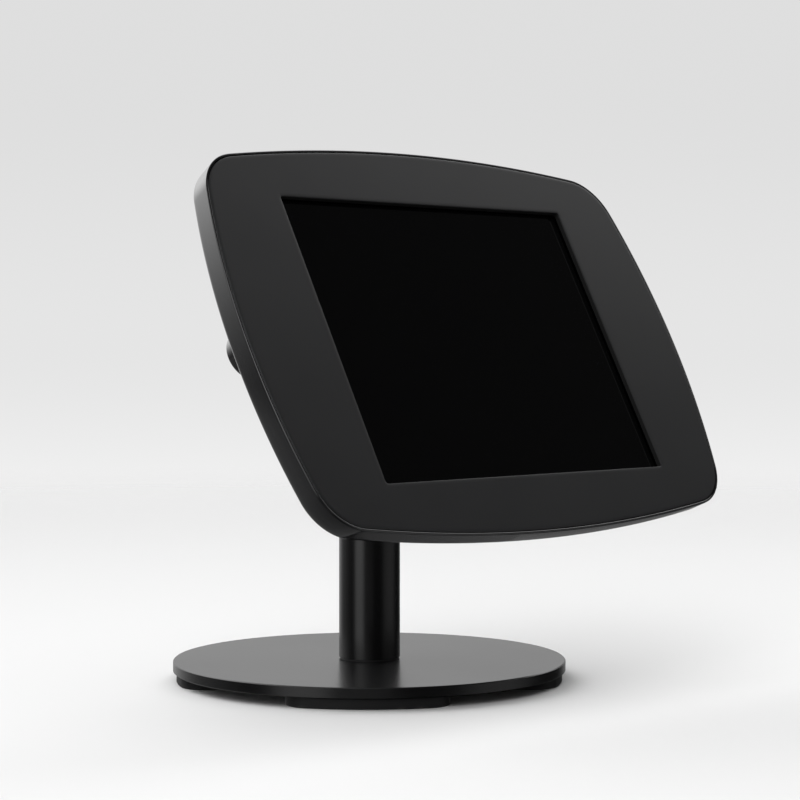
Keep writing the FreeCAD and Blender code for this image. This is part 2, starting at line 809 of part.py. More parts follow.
def neck():
    """The flange on the tube's end, the plate inside the shell and the screws that clamp the
    shell between them."""
    flange = stand_in_head(new_body("neck_flange"))
    sketch = sketch_on(flange, height="0 - head_depth")
    draw_rounded(sketch, "flange_side / 2", "flange_side / 2", "flange_corner")
    draw_circle(sketch, "cable_hole_radius")
    for x, y in flange_places():
        draw_circle(sketch, "small_screw_radius + running_gap", x, y)
    pad(flange, sketch, "flange_thickness", reverse=True)
    bevel_edges(flange, at_height("0 - head_depth - flange_thickness"), "0.5")
    plate = stand_in_head(new_body("mounting_plate"))
    outline = sketch_on(plate, height=FLOOR)
    draw_rounded(outline, "mounting_width / 2", "mounting_height / 2", "flange_corner")
    draw_circle(outline, "cable_hole_radius")
    pad(plate, outline, "mounting_sheet")
    slot = sketch_on(plate, height=f"{FLOOR} + mounting_sheet")
    draw_rectangle(slot, "0", "mounting_width / 2 + 1", "0 - channel_width / 2", "channel_width / 2")
    pocket(plate, slot, "mounting_sheet")
    seats = sketch_on(plate, height=f"{FLOOR} + mounting_sheet")
    for x, y in flange_places():
        draw_circle(seats, "small_head_radius", x, y)
    sinks = pocket(plate, seats, "mounting_sheet")
    sinks.TaperAngle = sink_angle()
    screws = [
        flat_screw("head_depth - floor_thickness - 3.4", x, y, f"{FLOOR} + mounting_sheet")
        for x, y in flange_places()
    ]
    stand_in_head(group("flange_screws", screws))
    outer = "(cable_hole_radius - seat_clearance)"
    high = f"{FLOOR} - channel_depth"
    low = "0 - head_depth - flange_thickness + 0.5"
    stand_in_head(turned("neck_grommet", [
        ("cable_hole_radius - 3", low),
        (outer, low),
        (outer, high),
        ("cable_hole_radius - 3", high),
    ]))


# Enclosure


def rear_shell():
    """A moulded tray: drafted walls, a rounded rear edge, a ledge that the faceplate closes on and
    a boss for the lock."""
    body = stand_in_head(new_body("rear_shell"))
    front = sketch_on(body)
    draw_head_outline(front)
    back = sketch_on(body, height="0 - head_depth")
    draw_head_outline(back, "head_draft")
    loft = body.newObject("PartDesign::AdditiveLoft", "shell_block")
    loft.Profile = front
    loft.Sections = [back]
    loft.Ruled = True
    doc.recompute()
    round_edges(body, at_height("0 - head_depth"), "rear_edge_radius")
    round_edges(body, at_height("0"), "rim_edge_radius")
    rebate = sketch_on(body)
    draw_head_outline(rebate, "rim_width")
    pocket(body, rebate, "face_thickness + seat_gap")
    cavity = sketch_on(body)
    draw_head_outline(cavity, "wall_thickness")
    pocket(body, cavity, "head_depth - floor_thickness")
    boss = sketch_on(body, height="0 - head_depth")
    draw_circle(boss, "boss_radius", x="0 - lock_reach")
    pad(body, boss, "boss_height", reverse=True)
    round_edges(body, at_height("0 - head_depth - boss_height"), "boss_edge_radius")
    floor = sketch_on(body, height=FLOOR)
    draw_circle(floor, "cable_hole_radius")
    draw_circle(floor, "barrel_radius + seat_clearance", x="0 - lock_reach")
    for x, y in flange_places():
        draw_circle(floor, "small_screw_radius + seat_clearance", x, y)
    pocket(body, floor, "floor_thickness + boss_height")
    channel = sketch_on(body, height=FLOOR)
    half_channel = "channel_width / 2"
    draw_rectangle(channel, "0", "tablet_width / 2 + 12", f"0 - {half_channel}", half_channel)
    pocket(body, channel, "channel_depth")
    threads = sketch_on(body, height=FLOOR)
    for x, y in socket_screw_places():
        draw_circle(threads, "tiny_screw_radius + running_gap", x, y)
    pocket(body, threads, "floor_thickness - 0.8")


def post_rows():
    return ("post_spacing / 2", "0 - post_spacing / 2")


def socket_screw_places():
    """A screw on each side of each post."""
    return [
        ("post_reach", f"{row} + {side} * socket_screw_offset") for row in post_rows() for side in (1, -1)
    ]


def post_sockets():
    """Two screwed-down sockets, each slit into four fingers that grip a post of the faceplate."""
    sockets = []
    top = f"({FACE_BACK} - post_root_height - socket_headroom)"
    fingers = f"({FLOOR} + socket_foot_height + socket_slit)"
    wide = "socket_foot_width / 2"
    long = "socket_foot_length / 2"
    for row in post_rows():
        foot = block(
            f"post_reach - {wide}", f"post_reach + {wide}", f"{row} - {long}", f"{row} + {long}",
            FLOOR, f"{FLOOR} + socket_foot_height",
        )
        sleeve = cylinder("socket_radius", f"{top} - {FLOOR}", "post_reach", row, FLOOR)
        bore = cylinder("post_radius + seat_clearance", "back_gap + tablet_depth", "post_reach", row, FLOOR)
        slit_along = block(
            "post_reach - socket_radius", "post_reach + socket_radius",
            f"{row} - socket_slit / 2", f"{row} + socket_slit / 2", fingers, FACE_BACK,
        )
        slit_across = block(
            "post_reach - socket_slit / 2", "post_reach + socket_slit / 2",
            f"{row} - socket_radius", f"{row} + socket_radius", fingers, FACE_BACK,
        )
        sockets.append(cut(cut(fuse(foot, sleeve), bore), fuse(slit_along, slit_across)))
    screws = []
    holes = []
    for x, y in socket_screw_places():
        shank = cylinder("tiny_screw_radius", "2 + socket_foot_height", x, y, f"{FLOOR} - 2")
        head = cylinder("tiny_head_radius", "tiny_head_height", x, y, f"{FLOOR} + socket_foot_height")
        screws.append(fuse(shank, head))
        holes.append(cylinder("tiny_screw_radius + seat_clearance", "4", x, y, f"{FLOOR} - 1"))
    upper, lower = sockets
    drilled = [cut(upper, fuse(*holes[:2])), cut(lower, fuse(*holes[2:]))]
    stand_in_head(group("post_sockets", drilled))
    stand_in_head(group("socket_screws", screws))


def faceplate_posts():
    """Two turned posts pressed into the faceplate's back, each with a neck and a tapered nose."""
    posts = []
    for row in post_rows():
        neck_low = f"{FACE_BACK} - post_shank - post_neck"
        stub = cylinder("post_radius", "post_stub", "post_reach", row, FACE_BACK)
        root = cylinder(
            "post_root_radius", "post_root_height", "post_reach", row, f"{FACE_BACK} - post_root_height"
        )
        shank = cylinder("post_radius", "post_shank", "post_reach", row, f"{FACE_BACK} - post_shank")
        neck = cylinder("post_neck_radius", "post_neck", "post_reach", row, neck_low)
        nose = doc.addObject("Part::Cone", "nose")
        bind(nose, "Radius1", "post_neck_radius - 0.2")
        bind(nose, "Radius2", "post_radius")
        bind(nose, "Height", "post_nose")
        for axis, place in zip("xyz", ("post_reach", row, f"{neck_low} - post_nose")):
            bind(nose, "Placement.Base." + axis, place)
        posts.append(fuse(stub, root, shank, neck, nose))
    stand_in_head(group("faceplate_posts", posts))


def faceplate():
    """A flat plate with the screen's window and two blind holes for its posts."""
    body = stand_in_head(new_body("faceplate"))
    outline = sketch_on(body)
    draw_head_outline(outline, "rim_width + rim_gap")
    pad(body, outline, "face_thickness", reverse=True)
    bevel_edges(body, at_height("0"), "face_edge")
    window = sketch_on(body)
    draw_rounded(window, "window_width / 2", "window_height / 2", "window_corner")
    pocket(body, window, "face_thickness")
    half_width = number("window_width / 2")

    def window_edge(edge):
        reach = max(abs(edge.BoundBox.XMax), abs(edge.BoundBox.XMin))
        low_enough = abs(edge.CenterOfMass.y) <= number("window_height / 2") + 0.01
        return at_height("0")(edge) and reach <= half_width + 0.01 and low_enough

    bevel_edges(body, window_edge, "window_edge")
    holes = sketch_on(body, height=FACE_BACK)
    for row in post_rows():
        draw_circle(holes, "post_radius + running_gap", "post_reach", row)
    pocket(body, holes, "post_stub + seat_clearance", upward=True)


def window_gasket():
    """A soft frame stuck behind the window, which rests on the tablet's glass."""
    body = stand_in_head(new_body("window_gasket"))
    sketch = sketch_on(body, height="0 - face_thickness")
    for margin in ("1", "1 + gasket_width"):
        draw_rounded(
            sketch, f"(window_width / 2 + {margin})", f"(window_height / 2 + {margin})", "window_corner + 1"
        )
    pad(body, sketch, "gasket_thickness", reverse=True)


def catch():
    """A bent strip under the faceplate's free edge, whose foot the lock's cam holds down."""
    outer = "(0 - lock_reach - cam_length - 2.7)"
    foot_z = f"({FACE_BACK} - catch_drop)"
    half = "catch_length / 2"
    flange = block(
        outer, f"{outer} + 7", "0 - catch_length", "catch_length", f"{FACE_BACK} - 1", FACE_BACK
    )
    web = block(outer, f"{outer} + catch_sheet", f"0 - {half}", half, foot_z, FACE_BACK)
    toe = block(outer, f"{outer} + 5.5", f"0 - {half}", half, foot_z, f"{foot_z} + catch_sheet")
    screws = []
    holes = []
    for side in (1, -1):
        x = f"{outer} + 3.8"
        y = f"{side} * (catch_length - 2.6)"
        holes.append(cylinder("tiny_screw_radius", "3", x, y, f"{FACE_BACK} - 2"))
        shank = cylinder("tiny_screw_radius - running_gap", "1", x, y, f"{FACE_BACK} - 1")
        head = cylinder(
            "tiny_head_radius", "tiny_head_height", x, y, f"{FACE_BACK} - 1 - tiny_head_height"
        )
        screws.append(fuse(shank, head))
    stand_in_head(keep(cut(fuse(flange, web, toe), fuse(*holes)), "catch_bracket"))
    stand_in_head(group("catch_screws", screws))


def lock():
    """A key lock in the shell's boss: barrel and nut stay, plug and cam turn a quarter."""
    rear = "(0 - head_depth - boss_height)"
    barrel_top = f"({FLOOR} + barrel_inside)"
    barrel_face = f"({rear} - barrel_lip_height)"
    plug_face = f"({barrel_face} - plug_proud)"
    plug_bore = "plug_radius + running_gap"
    at_lock = "0 - lock_reach"
    barrel = turned("lock_barrel", [
        (plug_bore, barrel_face),
        ("barrel_radius + barrel_lip - 0.6", barrel_face),
        ("barrel_radius + barrel_lip", f"{barrel_face} + 0.5"),
        ("barrel_radius + barrel_lip", rear),
        ("barrel_radius", rear),
        ("barrel_radius", barrel_top),
        (plug_bore, barrel_top),
    ])
    stand_in_head(barrel, at_lock)
    nut = stand_in_head(new_body("lock_nut"), at_lock)
    sketch = sketch_on(nut, height=FLOOR)
    draw_hexagon(sketch, "barrel_radius + barrel_lip + 0.4")
    draw_circle(sketch, "barrel_radius + running_gap")
    pad(nut, sketch, "lock_nut_height")
    cam_low = f"({FLOOR} + cam_height)"
    plug = turned("lock_plug", [
        ("0", plug_face),
        ("plug_radius - 0.4", plug_face),
        ("plug_radius", f"{plug_face} + 0.4"),
        ("plug_radius", f"{barrel_top} + 0.4"),
        ("plug_radius - 1.5", f"{barrel_top} + 0.4"),
        ("plug_radius - 1.5", cam_low),
        ("spindle_radius", cam_low),
        ("spindle_radius", f"{cam_low} + cam_thickness + spindle_end"),
        ("0", f"{cam_low} + cam_thickness + spindle_end"),
    ])
    stand_in_head(plug, at_lock)
    keyway = sketch_on(plug, height=plug_face)
    across, along = "keyway_width / 2", "keyway_length / 2"
    draw_rectangle(keyway, f"0 - {across}", across, f"0 - {along}", along)
    pocket(plug, keyway, "keyway_depth", upward=True)
    cam = stand_in_head(new_body("lock_cam"), at_lock)
    blade = sketch_on(cam, height=cam_low)
    draw_cam(blade)
    draw_circle(blade, "spindle_radius + running_gap")
    pad(cam, blade, "cam_thickness")
    cam_nut = stand_in_head(new_body("cam_nut"), at_lock)
    hexagon = sketch_on(cam_nut, height=f"{cam_low} + cam_thickness")
    draw_hexagon(hexagon, "cam_width / 2")
    draw_circle(hexagon, "spindle_radius + running_gap")
    pad(cam_nut, hexagon, "cam_nut_height")


def draw_cam(sketch):
    """A straight blade with two round ends: one about the plug, one short of the cam's length."""
    radius = number("cam_width / 2")
    far = number("cam_length - cam_width / 2")
    up = Vector(0, 0, 1)
    low = sketch.addGeometry(
        Part.ArcOfCircle(Part.Circle(Vector(0, 0, 0), up, radius), math.pi, 2 * math.pi)
    )
    right = sketch.addGeometry(Part.LineSegment(Vector(radius, 0, 0), Vector(radius, far, 0)))
    high = sketch.addGeometry(
        Part.ArcOfCircle(Part.Circle(Vector(0, far, 0), up, radius), 0, math.pi)
    )
    left = sketch.addGeometry(Part.LineSegment(Vector(-radius, far, 0), Vector(-radius, 0, 0)))
    loop = (low, right, high, left)
    for edge, following in zip(loop, loop[1:] + loop[:1]):
        constrain(sketch, "Tangent", edge, 2, following, 1)
    constrain(sketch, "Coincident", low, 3, -1, 1)
    hold_point(sketch, high, 3, "0", "cam_length - cam_width / 2")
    constrain(sketch, "Radius", low, size="cam_width / 2")


# Tablet


def tablet_housing():
    """The tablet's milled tray, open to the front, with slots in its edges for the buttons."""
    body = stand_in_head(new_body("tablet_housing"))
    outline = sketch_on(body, height=GLASS_BACK)
    draw_rounded(outline, "tablet_width / 2", "tablet_height / 2", "tablet_corner")
    pad(body, outline, "tablet_depth - glass_thickness", reverse=True)
    round_edges(body, at_height(TABLET_BACK), "1.5")
    hollow = sketch_on(body, height=GLASS_BACK)
    draw_rounded(
        hollow, "(tablet_width / 2 - tablet_wall)", "(tablet_height / 2 - tablet_wall)",
        "tablet_corner - tablet_wall",
    )
    pocket(body, hollow, "tablet_depth - glass_thickness - 0.8")
    half = "(button_width / 2 + seat_clearance)"
    slots = sketch_on(body, height=f"{BUTTON_Z} + {half}")
    for x, y, along_x in BUTTONS.values():
        run = "(button_length / 2 + seat_clearance)"
        reach = "(tablet_wall + button_travel + 0.2)"
        if along_x:
            draw_rectangle(slots, f"{x} - {run}", f"{x} + {run}", f"{y} - {reach}", f"{y} + 1")
        else:
            draw_rectangle(slots, f"{x} - {reach}", f"{x} + 1", f"{y} - {run}", f"{y} + {run}")
    pocket(body, slots, "button_width + 2 * seat_clearance")


# Each button's place on the tablet's edge, and whether it lies along X.
BUTTONS = {
    "power_button": ("(tablet_width / 2 - 32)", "(tablet_height / 2)", True),
    "volume_up_button": ("(tablet_width / 2)", "(tablet_height / 2 - 36)", False),
    "volume_down_button": ("(tablet_width / 2)", "(tablet_height / 2 - 50)", False),
}


def tablet_button(label):
    x, y, along_x = BUTTONS[label]
    body = stand_in_head(new_body(label))
    sketch = sketch_on(body, height=f"{BUTTON_Z} - button_width / 2")
    run = "button_length / 2"
    inner = "tablet_wall + 0.2"
    if along_x:
        draw_rectangle(sketch, f"{x} - {run}", f"{x} + {run}", f"{y} - ({inner})", f"{y} + button_proud")
    else:
        draw_rectangle(sketch, f"{x} - ({inner})", f"{x} + button_proud", f"{y} - {run}", f"{y} + {run}")
    pad(body, sketch, "button_width")
    round_edges(body, lambda edge: edge.BoundBox.ZLength > 1, "0.3")


def tablet():
    tablet_housing()
    glass = stand_in_head(new_body("tablet_glass"))
    sheet_sketch = sketch_on(glass, height=GLASS_FRONT)
    draw_rounded(
        sheet_sketch, "(tablet_width / 2 - 0.4)", "(tablet_height / 2 - 0.4)", "tablet_corner - 0.4"
    )
    pad(glass, sheet_sketch, "glass_thickness", reverse=True)
    bevel_edges(glass, at_height(GLASS_FRONT), "0.2")
    panel = block(
        "0 - window_width / 2 - 1", "window_width / 2 + 1", "0 - window_height / 2 - 1",
        "window_height / 2 + 1", f"{GLASS_BACK} - 1.3", GLASS_BACK,
    )
    stand_in_head(keep(panel_in_head(panel), "tablet_display"))
    cells_low = f"{TABLET_BACK} + 0.9"
    cells_high = f"{GLASS_BACK} - 1.6"
    packs = [
        block(low, high, "0 - 66", "66", cells_low, cells_high)
        for low, high in (("0 - 62", "0 - 1"), ("1", "62"))
    ]
    stand_in_head(group("tablet_battery", packs))
    board = block("68", "104", "0 - 70", "70", cells_low, f"{cells_low} + 0.8")
    chips = [
        block(f"86 - {half}", f"86 + {half}", f"{y} - {half}", f"{y} + {half}", f"{cells_low} + 0.8",
              f"{cells_low} + 1.8")
        for y, half in (("30", "8"), ("0", "6"), ("0 - 32", "10"))
    ]
    stand_in_head(keep(fuse(board, *chips), "tablet_circuit_board"))
    for label in BUTTONS:
        tablet_button(label)
    holders = []
    pads = []
    inner_x = "(tablet_width / 2 - corner_pad_side / 2)"
    inner_y = "(tablet_height / 2 - corner_pad_side / 2)"
    for side, up in ((1, 1), (-1, 1), (-1, -1), (1, -1)):
        tablet_edge = mirrored_block(
            side, up, "0", "(tablet_width / 2 + seat_clearance)",
            "0", "(tablet_height / 2 + seat_clearance)",
        )
        holder = mirrored_block(
            side, up, inner_x, f"({inner_x} + corner_pad_side)", inner_y, f"({inner_y} + corner_pad_side)"
        )
        holders.append(cut(holder, tablet_edge))
        pads.append(mirrored_block(
            side, up, "(mounting_width / 2 + 8)", "(mounting_width / 2 + 38)", "50", "62",
            FLOOR, TABLET_BACK,
        ))
    stand_in_head(group("tablet_corner_holders", holders))
    stand_in_head(group("tablet_back_pads", pads))


def panel_in_head(panel):
    """A single plain solid, wrapped so that it can be turned with the enclosure."""
    wrapped = doc.addObject("Part::Compound", "panel")
    wrapped.Links = [panel]
    return wrapped


def mirrored_block(
    side, up, x_low, x_high, y_low, y_high, z_low=FLOOR, z_high=f"{GLASS_BACK} - 0.3"
):
    """A block in one quarter of the enclosure, given by its place in the first."""
    x_pair = (x_low, x_high) if side > 0 else (f"0 - {x_high}", f"0 - {x_low}")
    y_pair = (y_low, y_high) if up > 0 else (f"0 - {y_high}", f"0 - {y_low}")
    return block(*x_pair, *y_pair, z_low, z_high)


foot()
swivel()
column_tube()
stop_screw()
neck()
rear_shell()
post_sockets()
faceplate()
faceplate_posts()
window_gasket()
catch()
lock()
tablet()
doc.recompute()

for item in doc.Objects:
    if "Invalid" in item.State or "Error" in item.State:
        raise RuntimeError(f"{item.Label} failed: {item.State}")
for piece in pieces:
    if piece.Shape.isNull() or not piece.Shape.isValid():
        raise RuntimeError(piece.Label + " has no valid shape")

os.makedirs("parts", exist_ok=True)
for piece in pieces:
    piece.Shape.exportStep(f"parts/{piece.Label}.step")
print(len(pieces), "pieces written")
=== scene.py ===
import math

import bpy
import numpy as np
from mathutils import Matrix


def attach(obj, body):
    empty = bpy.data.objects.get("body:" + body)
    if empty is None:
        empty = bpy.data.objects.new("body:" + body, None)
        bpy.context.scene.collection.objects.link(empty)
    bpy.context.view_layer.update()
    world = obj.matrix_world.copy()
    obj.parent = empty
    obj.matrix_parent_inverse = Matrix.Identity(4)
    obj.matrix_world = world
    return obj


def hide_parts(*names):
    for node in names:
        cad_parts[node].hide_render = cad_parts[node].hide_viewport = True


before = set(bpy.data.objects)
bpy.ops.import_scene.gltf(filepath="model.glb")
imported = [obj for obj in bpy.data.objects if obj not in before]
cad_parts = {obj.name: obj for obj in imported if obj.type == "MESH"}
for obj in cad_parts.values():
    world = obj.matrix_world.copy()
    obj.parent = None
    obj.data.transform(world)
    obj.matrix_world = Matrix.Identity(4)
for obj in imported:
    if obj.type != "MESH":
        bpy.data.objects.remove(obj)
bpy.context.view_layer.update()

# The room: a dim studio with a pale backdrop behind the stand. Its soft lights, which surfaces
# reflect, are summed in two values: room for the level and high ones, below for those under the
# level. A soft box overhead adds light to what is matt.


class Wire:
    """A value in a shader graph. Arithmetic on it adds one Math node an operator."""

    def __init__(self, graph, socket):
        self.graph = graph
        self.socket = socket

    def maths(self, operation, *others):
        sockets = dict(enumerate((self, *others)))
        return self.graph.node("ShaderNodeMath", {"operation": operation}, sockets)

    def __add__(self, other):
        return self.maths("ADD", other)

    def __sub__(self, other):
        return self.maths("SUBTRACT", other)

    def __rsub__(self, other):
        return (self * -1) + other

    def __mul__(self, other):
        return self.maths("MULTIPLY", other)

    def __pow__(self, other):
        return self.maths("POWER", other)

    __radd__ = __add__
    __rmul__ = __mul__

    def step(self, low, high):
        """0 below low, 1 above high and a smooth rise between them."""
        settings = {"interpolation_type": "SMOOTHSTEP"}
        sockets = {"Value": self, "From Min": low, "From Max": high}
        return self.graph.node("ShaderNodeMapRange", settings, sockets)


class Graph:
    """A node tree whose nodes are all added by one method."""

    def __init__(self, tree):
        self.tree = tree

    def node(self, kind, settings=None, sockets=None, out=0):
        """Add a node: its settings first, then the values or links of its sockets."""
        made = self.tree.nodes.new(kind)
        for name, value in (settings or {}).items():
            setattr(made, name, value)
        for name, value in (sockets or {}).items():
            if isinstance(value, Wire):
                self.tree.links.new(value.socket, made.inputs[name])
            else:
                made.inputs[name].default_value = value
        return Wire(self, made.outputs[out])

    def parts_of(self, vector):
        """The X, Y and Z of a vector."""
        return [
            self.node("ShaderNodeSeparateXYZ", {}, {"Vector": vector}, out=axis) for axis in (0, 1, 2)
        ]


scene = bpy.context.scene
scene.view_settings.view_transform = "Standard"

world = bpy.data.worlds.new("studio")
scene.world = world
world.use_nodes = True
air = Graph(world.node_tree)
direction = air.node("ShaderNodeTexCoord", out="Generated")
VIEW_HEADING = 45.153


def towards(turn, rise):
    """How far a ray leans towards a direction, given by its turn clockwise from the camera's
    heading and its rise above level: 1 along it, 0 square to it."""
    azimuth = math.radians(VIEW_HEADING + turn)
    flat = math.cos(math.radians(rise))
    aim = (math.sin(azimuth) * flat, math.cos(azimuth) * flat, math.sin(math.radians(rise)))
    settings = {"operation": "DOT_PRODUCT"}
    return air.node("ShaderNodeVectorMath", settings, {0: direction, 1: aim}, out="Value")


def glow(turn, rise, power):
    """A soft round light that falls off as a power of the cosine."""
    return towards(turn, rise).maths("MAXIMUM", 0.0) ** power


height = air.parts_of(direction)[2]
room = (
    0.035
    + towards(-14, 4).step(0.62, 0.99) * 0.68
    + glow(-64, 40, 8) * 3.3
    + towards(-142, 0).step(0.92, 0.985) * 1.5
    + glow(-165, 37, 20) * 3.6
    + towards(100, 0).step(0.80, 0.96) * 0.24
    + towards(34, 39).step(0.90, 0.99) * 2.3
)
below = (
    towards(-42, -18).step(0.40, 0.92) * 0.27
    + towards(180, -15).step(0.95, 0.99) * 0.4
    + towards(100, -20).step(0.90, 0.99) * 0.5
)
over = height.step(-0.24, -0.10)
lit = room * over + below * (1 - over)
backdrop = 0.785 - height.step(0.0, 0.11) * 0.05 + (height * -1).step(0.0, 0.09) * 0.11
seen = air.node("ShaderNodeLightPath", out="Is Camera Ray")
level = lit * (1 - seen) + backdrop * seen
air.tree.links.new(level.socket, world.node_tree.nodes["Background"].inputs["Color"])


def soft_box(name, place, aim, size, watts):
    """A square light facing the stand. It lights what is matt; the room gives the reflections."""
    light = bpy.data.lights.new(name, "AREA")
    light.size = size
    light.energy = watts
    lamp = bpy.data.objects.new(name, light)
    scene.collection.objects.link(lamp)
    offset = np.array(aim) - np.array(place)
    heading = math.atan2(offset[1], offset[0]) - math.pi / 2
    pitch = math.atan2(offset[2], math.hypot(offset[0], offset[1]))
    lamp.location = place
    lamp.rotation_euler = (math.pi / 2 + pitch, 0, heading)
    lamp.visible_glossy = False


soft_box("top_light", (-0.15, -0.25, 1.6), (0.0, 0.0, 0.0), 1.7, 13)

# The counter: a pale matt top, plain all over, that fades into the backdrop some way off, so
# that no horizon shows. It is kept out of the reflections.
COUNTER_REACH = 3.0
FADE_FROM, FADE_TO = 0.75, 2.2


class Finish(Graph):
    """A material: what is the same all over goes on the shader's sockets, the rest is wired."""

    def __init__(self, name, **constants):
        self.material = bpy.data.materials.new(name)
        self.material.use_nodes = True
        super().__init__(self.material.node_tree)
        self.shader = self.tree.nodes["Principled BSDF"]
        for socket, value in constants.items():
            self.shader.inputs[socket.replace("_", " ")].default_value = value
        self.place = self.node("ShaderNodeTexCoord", out="Object")

    def noise(self, scale, detail=2.0, along=(1, 1, 1)):
        """Cloudy noise, with so many features to the metre; along stretches it where under 1."""
        stretched = self.node("ShaderNodeMapping", {}, {"Vector": self.place, "Scale": along})
        sockets = {"Vector": stretched, "Scale": scale, "Detail": detail}
        return self.node("ShaderNodeTexNoise", {}, sockets)

    def grains(self, scale, feature="F1"):
        sockets = {"Vector": self.place, "Scale": scale}
        return self.node("ShaderNodeTexVoronoi", {"feature": feature}, sockets)

    def mix(self, mask, low, high):
        """One colour where the mask is 0 and another where it is 1."""
        sockets = {0: mask, 6: (*low, 1), 7: (*high, 1)}
        return self.node("ShaderNodeMix", {"data_type": "RGBA"}, sockets, out=2)

    def wire(self, socket, value):
        self.tree.links.new(value.socket, self.shader.inputs[socket])

    def bump(self, relief, depth, strength=1.0):
        """Relief of a given depth in metres where its height runs from 0 to 1."""
        sockets = {"Height": relief, "Distance": depth, "Strength": strength}
        self.wire("Normal", self.node("ShaderNodeBump", {}, sockets))

    def dress(self, *things):
        """Give this finish to CAD nodes, by name, or to new pieces."""
        for thing in things:
            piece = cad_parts[thing] if isinstance(thing, str) else thing
            piece.data.materials.clear()
            piece.data.materials.append(self.material)


side = COUNTER_REACH
counter_mesh = bpy.data.meshes.new("counter")
counter_mesh.from_pydata(
    [(-side, -side, 0), (side, -side, 0), (side, side, 0), (-side, side, 0)], [], [(0, 1, 2, 3)]
)
counter = bpy.data.objects.new("counter", counter_mesh)
scene.collection.objects.link(counter)
counter.visible_glossy = False
COUNTER_WHITE = (0.80, 0.80, 0.80, 1)
top = Finish("counter_top", Base_Color=COUNTER_WHITE, Roughness=0.7, Specular_IOR_Level=0.2)
reach = top.node("ShaderNodeVectorMath", {"operation": "LENGTH"}, {0: top.place}, out="Value")
top.wire("Alpha", 1 - reach.step(FADE_FROM, FADE_TO))
top.dress(counter)

# The camera stands to the front left, at about the height of the enclosure's middle, and looks
# very slightly down.
VIEW_PLACE, VIEW_DROP = (-0.8760, -0.8955, 0.18958), 1.504
camera = bpy.data.cameras.new("camera")
camera.lens = 100.55
camera.sensor_width = 36
camera.clip_end = 60
viewer = bpy.data.objects.new("camera", camera)
viewer.location = VIEW_PLACE
viewer.rotation_euler = (math.radians(90 - VIEW_DROP), 0, math.radians(-VIEW_HEADING))
scene.collection.objects.link(viewer)
scene.camera = viewer


# The foot is a disc of 6 mm steel, its edge eased, sprayed and baked in satin black powder. The
# column and its flange are sprayed in the same batch, before the bare fittings go in.
COAT_BLACK = (0.0042, 0.0042, 0.0045)
COAT_ROUGHNESS = 0.235


def powder_coat(name):
    """Powder dries to a fine orange peel, with a grit so small that it only dulls the shine."""
    finish = Finish(name, Base_Color=(*COAT_BLACK, 1))
    peel = finish.noise(620, 3.0)
    grit = finish.grains(5200)
    clouds = finish.noise(9, 3.0)
    finish.wire("Roughness", COAT_ROUGHNESS + (clouds - 0.5) * 0.05 + grit * 0.03)
    finish.bump(peel * 0.75 + grit * 0.25, 0.000012, 0.35)
    return finish


satin_coat = powder_coat("satin_powder_coat")
satin_coat.dress("base_plate", "column_tube", "neck_flange")

# Four rubber pads, moulded with a fine leather grain, stand the foot clear of the counter. Their
# undersides are a little paler where they have picked up dust.
pad_rubber = Finish("pad_rubber", Specular_IOR_Level=0.3)
pad_height = pad_rubber.parts_of(pad_rubber.place)[2]
dust = (1 - pad_height.step(0.0002, 0.0022)) * pad_rubber.noise(140, 4.0).step(0.42, 0.66)
leather = pad_rubber.grains(1500, "SMOOTH_F1")
pad_rubber.wire("Base Color", pad_rubber.mix(dust * 0.5, (0.0075, 0.0075, 0.008), (0.05, 0.048, 0.045)))
pad_rubber.wire("Roughness", 0.55 + leather * 0.15)
pad_rubber.bump(leather, 0.00006, 0.5)
corners = ("back_right", "back_left", "front_left", "front_right")
pad_rubber.dress(*("foot_pad_" + corner for corner in corners))

# The small screws, and the plates and brackets that nobody sees, are bright zinc plated: a cool
# clear shine with a faint drift of yellow and blue, and fine lines from the rolling.


def zinc_plate(name, along):
    """Zinc plate over steel. Its lines run along the axis that along stretches, if it does."""
    finish = Finish(name, Metallic=1.0)
    drift = finish.noise(55, 3.0)
    lines = finish.noise(900, 2.0, along)
    finish.wire("Base Color", finish.mix(drift.step(0.35, 0.65), (0.50, 0.51, 0.54), (0.58, 0.56, 0.50)))
    finish.wire("Roughness", 0.22 + lines * 0.16 + drift * 0.05)
    finish.bump(lines, 0.00001, 0.4)
    return finish


screw_zinc = zinc_plate("screw_zinc", (1, 1, 1))
screw_zinc.dress("foot_pad_screws", "spigot_screws", "flange_screws", "socket_screws", "catch_screws")
sheet_zinc = zinc_plate("sheet_zinc", (0.08, 1, 1))
sheet_zinc.dress("mounting_plate", "catch_bracket", "lock_cam", "cam_nut")

# The swivel is a steel spigot turned in the lathe, so that fine rings run round it. Its bushes,
# the washer under the column and the sockets for the faceplate's posts are black acetal. Its
# friction ring and both grommets are black rubber.


def turned_metal(name, colour, axis_point, pitch, roughness):
    """Lathe rings: a sine of the distance up and out from an upright axis, with a little wander."""
    finish = Finish(name, Base_Color=(*colour, 1), Metallic=1.0)
    away = finish.node("ShaderNodeVectorMath", {"operation": "SUBTRACT"}, {0: finish.place, 1: axis_point})
    east, north, rise = finish.parts_of(away)
    out = (east * east + north * north) ** 0.5
    wander = finish.noise(300, 2.0)
    rings = ((out + rise) * (2 * math.pi / pitch) + wander * 2.0).maths("SINE")
    finish.wire("Roughness", roughness + rings * 0.04 + wander * 0.06)
    finish.bump(rings * 0.5 + 0.5, 0.000008, 0.5)
    return finish


turned_metal("turned_steel", (0.50, 0.50, 0.52), (0, 0, 0), 0.0004, 0.24).dress("swivel_spigot")

acetal = Finish("black_acetal", Base_Color=(0.005, 0.005, 0.0055, 1))
acetal_grain = acetal.noise(1800, 2.0, (1, 1, 0.2))
acetal.wire("Roughness", 0.48 + acetal_grain * 0.16)
acetal.bump(acetal_grain, 0.000015, 0.4)
acetal.dress("lower_bush", "upper_bush", "thrust_washer", "post_sockets")

